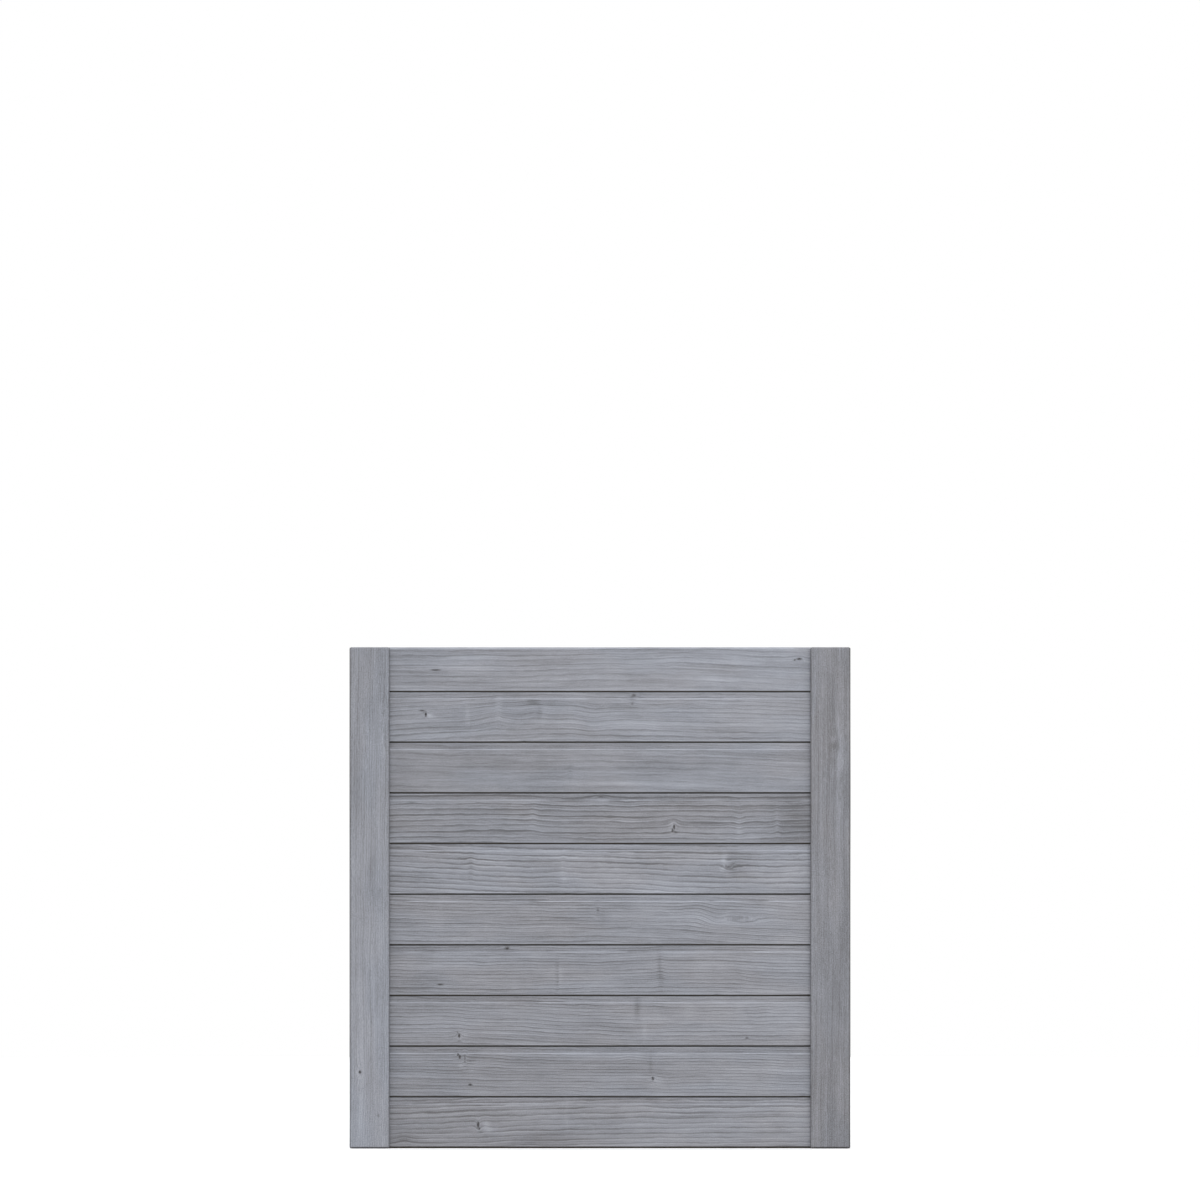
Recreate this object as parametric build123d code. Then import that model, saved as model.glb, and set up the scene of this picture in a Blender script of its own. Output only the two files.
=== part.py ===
from build123d import *
import os

# A privacy fence panel, standing upright. Ten tongue-and-groove boards lie edge on edge, and
# their ends sit in the grooves of two stiles. One screw from behind holds each board end.
# There is no top or bottom rail: the lowest and the highest board close the panel.
#
# X runs along the boards, Y from the front to the back and Z up. The origin is the middle
# of the panel's underside. All sizes are in millimetres.

# Panel: the whole width, and how many boards are stacked up
panel_width = 900.0
board_count = 10

# Stiles: the section as planed, the rounding along the edges and at the two ends
stile_width = 72.0
stile_depth = 42.0
edge_round = 4.0
end_round = 3.0

# Groove in the stile's inner edge
groove_depth = 18.0
groove_play = 0.2

# Board: height from one joint to the next, and the strip left open above the face
cover_height = 91.0
ledge_height = 10.0
end_gap = 2.0

# Board: layers from the front face to the back face
face_bevel = 2.5
lip_nose = 1.5
tongue_thickness = 6.0
tongue_play = 0.2
back_lip = 5.6
back_bevel = 1.0

# Board: how far the tongue reaches up into the next board, and its eased tip
tongue_reach = 7.0
tongue_tip_gap = 1.0
tongue_tip_bevel = 1.0

# Screws: countersunk wood screws with a six-lobed socket, flush with the back of the stile
screw_diameter = 4.0
screw_head_diameter = 8.0
screw_point_length = 4.0
wood_before_point = 7.0
socket_diameter = 3.8
socket_lobe_diameter = 1.1
socket_depth = 1.6

# Sizes that follow from the ones above
face_height = cover_height - ledge_height
panel_height = (board_count - 1) * cover_height + face_height
front_lip = face_bevel + lip_nose
slot_width = tongue_thickness + 2 * tongue_play
slot_depth = tongue_reach + tongue_tip_gap
board_thickness = front_lip + slot_width + back_lip
groove_width = board_thickness + 2 * groove_play
field_width = panel_width - 2 * stile_width
board_bite = groove_depth - end_gap
board_length = field_width + 2 * board_bite
screw_length = stile_depth - wood_before_point
screw_head_height = (screw_head_diameter - screw_diameter) / 2
screw_x = (field_width + board_bite) / 2
overshoot = 5.0


def board_section(has_tongue):
    """The closed outline of a board in Y and Z, its front lip standing at Z = 0."""
    front = -board_thickness / 2
    back = board_thickness / 2
    slot_front = front + front_lip
    slot_back = slot_front + slot_width
    tongue_front = slot_front + tongue_play
    tongue_back = tongue_front + tongue_thickness
    tip = cover_height + tongue_reach
    back_top = cover_height if has_tongue else face_height
    lower_edge = [
        (front, face_height - face_bevel),
        (front, face_bevel),
        (front + face_bevel, 0),
        (slot_front, 0),
        (slot_front, slot_depth),
        (slot_back, slot_depth),
        (slot_back, 0),
        (back - back_bevel, 0),
        (back, back_bevel),
        (back, back_top - back_bevel),
        (back - back_bevel, back_top),
    ]
    tongue = [
        (tongue_back, cover_height),
        (tongue_back, tip - tongue_tip_bevel),
        (tongue_back - tongue_tip_bevel, tip),
        (tongue_front + tongue_tip_bevel, tip),
        (tongue_front, tip - tongue_tip_bevel),
        (tongue_front, face_height),
    ]
    upper_edge = [(front + face_bevel, face_height)]
    points = lower_edge + (tongue if has_tongue else []) + upper_edge
    return make_face(Polyline(*points, close=True))


def screw_blank():
    """A screw's outer shape, its head's face at the origin and its point along +Z."""
    shank_end = screw_length - screw_point_length
    outline = Polyline(
        (0, 0),
        (screw_head_diameter / 2, 0),
        (screw_diameter / 2, screw_head_height),
        (screw_diameter / 2, shank_end),
        (0, screw_length),
        close=True,
    )
    return revolve(Plane.XZ * make_face(outline), Axis.Z)


def screw_socket():
    """The six-lobed recess in the head: a round core and six round lobes at its rim."""
    lobe_circle = (socket_diameter - socket_lobe_diameter) / 2
    sketch = Circle(lobe_circle) + PolarLocations(lobe_circle, 6) * Circle(socket_lobe_diameter / 2)
    return extrude(sketch, socket_depth)


def screw_places(side):
    """Where the screws of one stile go in: in the back face, at half of each board's face."""
    back = stile_depth / 2
    heights = [n * cover_height + face_height / 2 for n in range(board_count)]
    return [Plane(origin=(side * screw_x, back, z), x_dir=(1, 0, 0), z_dir=(0, -1, 0)) for z in heights]


def make_board(number):
    """Board `number`, counted from the bottom; the top one has its tongue cut off."""
    has_tongue = number < board_count
    section = Plane.YZ * board_section(has_tongue)
    board = extrude(section, board_length / 2, both=True)
    board = Pos(0, 0, (number - 1) * cover_height) * board
    for side in (-1, 1):
        board -= screw_places(side)[number - 1] * screw_blank()
    return board


def make_stile(side):
    """One upright, side -1 for the left and 1 for the right, with its groove and screw holes."""
    centre = side * (field_width + stile_width) / 2
    lowest = (Align.CENTER, Align.CENTER, Align.MIN)
    blank = Box(stile_width, stile_depth, panel_height, align=lowest)
    blank = fillet(blank.edges().filter_by(Axis.Z), edge_round)
    end_faces = blank.faces().filter_by(Axis.Z)
    blank = fillet(end_faces.edges(), end_round)
    cutter = Box(groove_depth, groove_width, panel_height + 2 * overshoot, align=lowest)
    groove = Pos(side * (field_width + groove_depth) / 2, 0, -overshoot) * cutter
    stile = Pos(centre, 0, 0) * blank - groove
    for place in screw_places(side):
        stile -= place * screw_blank()
    return stile


def make_screws(side):
    """The ten screws of one stile, as separate solids."""
    screw = screw_blank() - screw_socket()
    return Compound([place * screw for place in screw_places(side)])


parts = {
    "left_stile": make_stile(-1),
    "right_stile": make_stile(1),
    "left_screws": make_screws(-1),
    "right_screws": make_screws(1),
}
for number in range(1, board_count + 1):
    parts[f"board_{number:02d}"] = make_board(number)

os.makedirs("parts", exist_ok=True)
for name, shape in parts.items():
    export_step(shape, f"parts/{name}.step")
print(f"panel {panel_width:g} x {stile_depth:g} x {panel_height:g} mm, boards {board_length:g} mm long")
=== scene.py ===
# %% [markdown]
# # A privacy fence panel in grey-stained softwood
#
# The real panel is ten planed boards lying edge on edge between two upright stiles. The
# imported solids already hold every size, so this lesson only adds what a saw, a planer, a
# brush and a few seasons outdoors leave behind: growth rings, fibres, small knots, chipped
# edges and an uneven grey stain.
#
# The solids are loaded first. Their box is kept.

# %% Load the solids
import math

import bpy
import numpy as np
from mathutils.geometry import tessellate_polygon
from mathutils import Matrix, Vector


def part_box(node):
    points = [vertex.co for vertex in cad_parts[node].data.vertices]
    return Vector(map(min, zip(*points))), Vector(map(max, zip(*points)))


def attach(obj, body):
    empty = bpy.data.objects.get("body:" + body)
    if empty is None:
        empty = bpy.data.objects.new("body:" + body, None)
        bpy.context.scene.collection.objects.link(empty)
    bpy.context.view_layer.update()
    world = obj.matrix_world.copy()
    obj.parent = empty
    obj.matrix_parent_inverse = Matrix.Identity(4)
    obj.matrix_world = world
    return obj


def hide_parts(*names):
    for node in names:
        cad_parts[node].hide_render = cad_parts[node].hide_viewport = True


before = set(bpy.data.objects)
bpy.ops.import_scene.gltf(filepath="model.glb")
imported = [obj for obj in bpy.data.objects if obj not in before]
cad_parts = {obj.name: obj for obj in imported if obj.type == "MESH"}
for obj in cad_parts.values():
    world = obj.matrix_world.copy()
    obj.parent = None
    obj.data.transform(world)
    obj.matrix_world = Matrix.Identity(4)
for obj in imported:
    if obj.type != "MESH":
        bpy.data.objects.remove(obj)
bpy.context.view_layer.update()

# %% [markdown]
# ## Sizes
#
# All sizes below are in millimetres, as on a joiner's drawing, and become metres only when a
# mesh is written. The places come from the boxes of the solids, and the small sizes of the
# tongue, the groove and the bevels are the ones that the boards are planed to.

# %% Sizes in millimetres
MM = 0.001
BOARD_COUNT = 10
lowest_board, second_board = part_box("board_01"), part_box("board_02")
COVER = (second_board[0].z - lowest_board[0].z) / MM
BOARD_BACK, BOARD_HALF = lowest_board[1].y / MM, lowest_board[1].x / MM
stile_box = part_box("right_stile")
STILE_INNER, STILE_OUTER = stile_box[0].x / MM, stile_box[1].x / MM
STILE_BACK, PANEL_TOP = stile_box[1].y / MM, stile_box[1].z / MM
BOARD_FRONT, STILE_FRONT = -BOARD_BACK, -STILE_BACK
# The ledge is the set-back strip above each face. The last half millimetre is under a lip.
LEDGE = 10.0
FACE = COVER - LEDGE
BEVEL, LIP, SLOT, BACK_BEVEL = 2.5, 4.0, 6.4, 1.0
TONGUE_PLAY, TONGUE_REACH, TONGUE_CHAMFER, SLOT_DEPTH = 0.2, 7.0, 1.0, 8.0
LEDGE_SEEN = COVER - 0.5
print(f"cover {COVER:.1f}, face {FACE:.1f}, field {2 * STILE_INNER:.0f}, top {PANEL_TOP:.0f} mm")

# %% [markdown]
# ## Smooth chance
#
# Wood is irregular, but never jumpy. A table of random numbers, blended smoothly from one
# entry to the next, gives that kind of unevenness. The table is seeded, so each run gives the
# same panel.

# %% Smooth random unevenness
TABLE = 64


def unevenness(u, v, seed):
    """Value between -1 and 1 at (u, v): the four nearest table entries, blended with the
    curve t*t*t*(6t*t - 15t + 10), which leaves and reaches each entry level."""
    table = np.random.RandomState(seed).uniform(-1.0, 1.0, (TABLE, TABLE))
    u, v = np.broadcast_arrays(np.asarray(u, float), np.asarray(v, float))
    iu, iv = np.floor(u).astype(int), np.floor(v).astype(int)
    fu, fv = u - iu, v - iv
    fu = fu ** 3 * (6 * fu ** 2 - 15 * fu + 10)
    fv = fv ** 3 * (6 * fv ** 2 - 15 * fv + 10)
    left, right, under, over = iu % TABLE, (iu + 1) % TABLE, iv % TABLE, (iv + 1) % TABLE
    low = table[left, under] * (1 - fu) + table[right, under] * fu
    high = table[left, over] * (1 - fu) + table[right, over] * fu
    return low * (1 - fv) + high * fv


def hill(distance):
    """A smooth hill, 1 at distance 0 and nearly 0 from distance 2: exp(-distance squared)."""
    return np.exp(-np.square(distance))


def oval(along, across, x, w, long, tall):
    """Distance from the spot (x, w), counted in the spot's own length and height."""
    return np.hypot((along - x) / long, (across - w) / tall)


print("unevenness at a few places:", np.round(unevenness([0.3, 1.7, 5.2], 0.5, 1), 2))

# %% [markdown]
# ## A moulded outline
#
# A planer cuts one outline along the whole board. So the outline is drawn once, as a list of
# corners, and turned into closely spaced points. Each corner may be eased with a small curve,
# as sanding leaves it. A stretch of the outline that is seen gets many points, and one inside
# the joint gets few.

# %% From corners to outline points
FEW_STEPS, MANY_STEPS = 4, 7


def trace_outline(corners):
    """Points, outward directions and brushing share of a closed outline.

    A corner is (across, up, easing, spacing, brushed): the curve at the corner is a Bezier
    with the corner as its middle handle, and the stretch after it has points `spacing`
    apart. `brushed` is 1 where the brush reaches that stretch and 0 where it doesn't."""
    spots = np.array([c[:2] for c in corners], float)
    after = np.roll(spots, -1, axis=0) - spots
    length = np.linalg.norm(after, axis=1, keepdims=True)
    after = after / length
    before = np.roll(after, 1, axis=0)
    points, share = [], []
    for i, (_, _, easing, spacing, brushed) in enumerate(corners):
        steps = np.zeros((1, 1))
        if easing:
            steps = np.linspace(0, 1, FEW_STEPS if easing < 1 else MANY_STEPS)[:, None]
        start, end = spots[i] - before[i] * easing, spots[i] + after[i] * easing
        curve = (1 - steps) ** 2 * start + 2 * steps * (1 - steps) * spots[i] + steps ** 2 * end
        next_easing = corners[(i + 1) % len(corners)][2]
        run = length[i, 0] - easing - next_easing
        count = max(int(round(run / spacing)) - 1, 0)
        along = (np.arange(1, count + 1) / (count + 1))[:, None] * run
        points += [curve, end + after[i] * along]
        share += [np.full(len(curve) + count, float(brushed))]
    points = np.vstack(points)
    tangent = np.roll(points, -1, axis=0) - np.roll(points, 1, axis=0)
    tangent /= np.linalg.norm(tangent, axis=1, keepdims=True)
    outward = np.stack([tangent[:, 1], -tangent[:, 0]], axis=1)
    return {"points": points, "outward": outward, "brushed": np.concatenate(share)}


def board_outline(has_tongue):
    """The planed outline of a board: depth from front to back, height from its front lip."""
    front, back = BOARD_FRONT, BOARD_BACK
    slot_front, slot_back = front + LIP, front + LIP + SLOT
    tongue_front, tongue_back = slot_front + TONGUE_PLAY, slot_back - TONGUE_PLAY
    tip = COVER + TONGUE_REACH
    shoulder = tip - TONGUE_CHAMFER
    back_top = COVER if has_tongue else FACE
    corners = [
        (front, BEVEL, 0.5, 0.8, 1), (front + BEVEL, 0, 0.5, 2, 1), (slot_front, 0, 0, 4, 0),
        (slot_front, SLOT_DEPTH, 0, 4, 0), (slot_back, SLOT_DEPTH, 0, 4, 0),
        (slot_back, 0, 0, 5, 0), (back - BACK_BEVEL, 0, 0.3, 2, 0), (back, BACK_BEVEL, 0.3, 3.4, 1),
        (back, back_top - BACK_BEVEL, 0.3, 2, 1), (back - BACK_BEVEL, back_top, 0.3, 5, 1),
    ]
    if has_tongue:
        corners += [
            (tongue_back, COVER, 0, 4, 0), (tongue_back, shoulder, 0, 2, 0),
            (tongue_back - TONGUE_CHAMFER, tip, 0, 4, 0), (tongue_front + TONGUE_CHAMFER, tip, 0, 2, 0),
            (tongue_front, shoulder, 0, 3, 0), (tongue_front, LEDGE_SEEN, 0, 1.4, 1),
            (tongue_front, FACE, 0, 2, 1),
        ]
    corners += [(front + BEVEL, FACE, 0.5, 0.8, 1), (front, FACE - BEVEL, 0.5, 1.15, 1)]
    return trace_outline(corners)


print("points round a board:", len(board_outline(True)["points"]))

# %% [markdown]
# ## Where the rings run
#
# A board is a slice of a log, and its growth rings are cylinders round the log's heart. If
# each point of a board knows its place beside that heart, then the ring lines come out right
# on the face, on the bevels, on the back and on the sawn ends all at once. Painting lines on
# each side apart would never match up at the corners.
#
# Real rings are not straight cylinders. The trunk sways, so the grain rises and falls along
# the board, and it bulges round each knot. These are added as a slope that changes along the
# board, a few gentle waves and a swelling at each knot.

# %% Place in the log
SLOPE_STEPS = 400
SWAYS = ((2.4, 190, 120, 0), (1.1, 70, 34, 1), (0.55, 26, 15, 2), (0.26, 11, 7, 4))
MARK_GONE, MARK_FADE = 19.5, 15.0
KNOT_SIZE, WIDE_SWELL, WIDE_SHARE, NEAR_SWELL = 1.2, 3.0, 0.7, 1.4
SQUEEZE_REACH, SQUEEZE_SHARE = 2.0, 0.5
TONE_DRIFT = 0.05
DARK_LINE_AT = 0.8


def grain_rise(along, slopes):
    """How far the grain has risen at each place: the running sum of its slope, which is
    given in degrees at evenly spaced places from one end of the board to the other."""
    reach = np.linspace(along.min() - 1, along.max() + 1, SLOPE_STEPS)
    places = np.linspace(reach[0], reach[-1], len(slopes))
    rise = np.cumsum(np.tan(np.radians(np.interp(reach, places, slopes)))) * (reach[1] - reach[0])
    return np.interp(along, reach, rise - rise.mean())


def place_in_log(along, depth, across, grain):
    """Where points lie in the log, and what marks them. The inputs are arrays in mm: along
    the piece, depth behind its face, and across from its lower or left edge.

    rings: (distance behind the heart, distance beside it, swelling), counted in rings, so the
    ring number is the length of the first two, less the third.
    fibre: (along, across, depth) after the grain's bends are taken out, in metres.
    knot: 1 in the heart of a dark knot and 0 in plain wood.
    tone: how much lighter than usual the stain is. Waves, knots and patches are whole near
    the face and fade with depth, so that little of them comes out at the back."""
    seed = grain["seed"]
    sway = 0
    for size, long, tall, step in SWAYS:
        sway = sway + size * unevenness(along / long, across / tall, seed + step)
    rise = grain_rise(along, grain["slopes"]) + grain["sway"] * sway
    near_front = np.clip((MARK_GONE - depth) / MARK_FADE, 0, 1)
    for x, w, long, tall, height in grain["waves"]:
        rise = rise + near_front * height * hill(oval(along, across, x, w, long, tall))
    swelling, knot, squeeze = 0 * along, 0 * along, 0 * along
    for x, w, long, tall, push, dark in grain["knots"]:
        near = oval(along, across, x, w, long, tall) / KNOT_SIZE
        swell = WIDE_SHARE * hill(near / WIDE_SWELL) + hill(near / NEAR_SWELL)
        swelling = swelling + near_front * push * swell
        squeeze = squeeze + SQUEEZE_SHARE * (across - w) * hill(near / SQUEEZE_REACH)
        knot = np.maximum(knot, dark * hill(near) * near_front)
    tone = grain["tone"] + grain["slant"] * along / BOARD_HALF
    tone = tone + TONE_DRIFT * unevenness(along / 120, across / 60, seed + 3)
    for x, w, long, tall, amount in grain["patches"]:
        tone = tone + near_front * amount * hill(oval(along, across, x, w, long, tall))
    level = across - rise
    heart_depth, heart_across = grain["heart"]
    behind, beside = (heart_depth - depth) / grain["ring"], (level - heart_across) / grain["ring"]
    rings = np.stack([behind, beside, swelling + grain["shift"]], axis=-1)
    fibre = np.stack([along, level - squeeze, depth], axis=-1) * MM
    return rings, fibre, knot, tone


def ring_groove(rings):
    """How deep the surface dips at each point: 1 at the dark line of a ring and 0 half a
    ring away from it, by the cosine of the ring number."""
    number = np.hypot(rings[..., 0], rings[..., 1]) - rings[..., 2]
    return 0.5 + 0.5 * np.cos(2 * math.pi * (number - DARK_LINE_AT))


print("dip at ring numbers 7.8 and 8.3:", np.round(ring_groove(np.array([[7.8, 0, 0], [8.3, 0, 0]])), 3))

# %% [markdown]
# ## From an outline to a mesh
#
# The outline is carried along the piece, one copy at each station. Stations lie close
# together where a knot or a screw needs them and further apart elsewhere. The result is a
# plain grid of points that closes on itself, with one flat face at each end.

# %% Stations and sweep
FINE_PLACES = 6000
SMALLEST_AREA = 1e-6
SHARP_ANGLE = 38


def spread_stations(low, high, spacing, busy):
    """Places from low to high, `spacing` apart, and closer near each busy (place, reach,
    extra): the running sum of the wanted density is cut into equal parts."""
    fine = np.linspace(low, high, FINE_PLACES)
    density = np.full_like(fine, 1.0 / spacing)
    for place, reach, extra in busy:
        density += extra / spacing * hill((fine - place) / reach)
    total = np.concatenate([[0], np.cumsum((density[1:] + density[:-1]) / 2 * np.diff(fine))])
    return np.interp(np.linspace(0, total[-1], int(total[-1]) + 1), total, fine)


def flat_end(points):
    """Triangles that fill an outline, all anticlockwise. A triangle whose corners run the
    other way has a negative area, half of the cross product of two sides, and is turned."""
    corners = np.array(tessellate_polygon([[(x, y, 0.0) for x, y in points]]))
    first = points[corners[:, 1]] - points[corners[:, 0]]
    second = points[corners[:, 2]] - points[corners[:, 0]]
    area = (first[:, 0] * second[:, 1] - first[:, 1] * second[:, 0]) / 2
    corners = np.where(area[:, None] < 0, corners[:, ::-1], corners)
    return corners[np.abs(area) > SMALLEST_AREA]


def add_object(name, data):
    """Puts a mesh, a lamp or a camera into the scene."""
    thing = bpy.data.objects.new(name, data)
    bpy.context.scene.collection.objects.link(thing)
    return thing


def sweep(name, stations, outline, push, axis):
    """Mesh of an outline carried along an axis (0 for x, 2 for z).

    The point at station s and outline place r is the outline's point, moved outwards by
    push[s, r], and set at distance s along the axis."""
    shape = (len(stations), len(outline["points"]))
    flat = outline["points"][None] + outline["outward"][None] * push[..., None]
    grid = np.zeros(shape + (3,))
    grid[..., axis] = stations[:, None]
    grid[..., (axis + 1) % 3] = flat[..., 0]
    grid[..., (axis + 2) % 3] = flat[..., 1]
    numbers = np.arange(shape[0] * shape[1]).reshape(shape)
    here, beside = numbers[:-1], np.roll(numbers, -1, axis=1)[:-1]
    far, far_beside = numbers[1:], np.roll(numbers, -1, axis=1)[1:]
    quads = np.stack([here, beside, far_beside, far], axis=-1).reshape(-1, 4)
    far_end, near_end = flat_end(flat[-1]), flat_end(flat[0])
    ends = [numbers[-1][far_end], numbers[0][near_end][:, ::-1]]
    faces = quads.tolist() + np.vstack(ends).tolist()
    smooth = np.arange(len(faces)) < len(quads)
    mesh = bpy.data.meshes.new(name)
    mesh.from_pydata((grid.reshape(-1, 3) * MM).tolist(), [], faces)
    mesh.polygons.foreach_set("use_smooth", smooth)
    mesh.polygons.foreach_set("material_index", np.where(smooth, 0, 1).astype(np.int32))
    mesh.set_sharp_from_angle(angle=math.radians(SHARP_ANGLE))
    return add_object(name, mesh)


def write_marks(piece, rings, fibre, marks, grain):
    """Stores four vectors at each point of the mesh, for the wood materials to read."""
    own = np.broadcast_to([grain["line"], grain["warm"], 0.0], marks.shape)
    for label, values in (("rings", rings), ("fibre", fibre), ("marks", marks), ("own", own)):
        layer = piece.data.attributes.new(label, "FLOAT_VECTOR", "POINT")
        layer.data.foreach_set("vector", np.ascontiguousarray(values, np.float32).ravel())


print("stations over 100 mm, 10 apart, busy at 50:", np.round(spread_stations(0, 100, 10, [(50, 10, 2)])))

# %% [markdown]
# ## The boards
#
# Each board has its own grain. The numbers below describe it the way a joiner would: how
# wide its rings are, where the heart of the log lay, how the grain rises and falls from the
# left end to the right one, and where its knots, waves and odd patches are. Lengths
# are in millimetres, from the panel's middle and from the board's lower edge.
#
# The alternative, one random texture for all boards, would look tidy and lifeless.

# %% The grain of each board, from the bottom up
def wood(ring, heart, slopes, tone, line, seed, warm=0.2, shift=0.0, sway=1.0, slant=0.075,
         waves=(), knots=(), patches=()):
    """One piece's grain. ring: width of a year. heart: (depth behind the face, distance from
    the lower or left edge). slopes: in degrees, at even steps from end to end. tone: how much
    lighter than usual. line: strength of the ring lines. seed: picks the random tables. warm:
    share of the warmer grey. shift: moves the rings. sway: share of the usual sway. slant:
    tone gained in half a board's length. Waves, knots and patches start with (place along,
    place across, length, height). Then a wave has its rise, a knot the rings it pushes aside
    and its darkness, and a patch its tone."""
    return dict(ring=ring, heart=heart, slopes=slopes, tone=tone, line=line, seed=seed, warm=warm,
                shift=shift, sway=sway, slant=slant, waves=waves, knots=knots, patches=patches)


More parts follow.
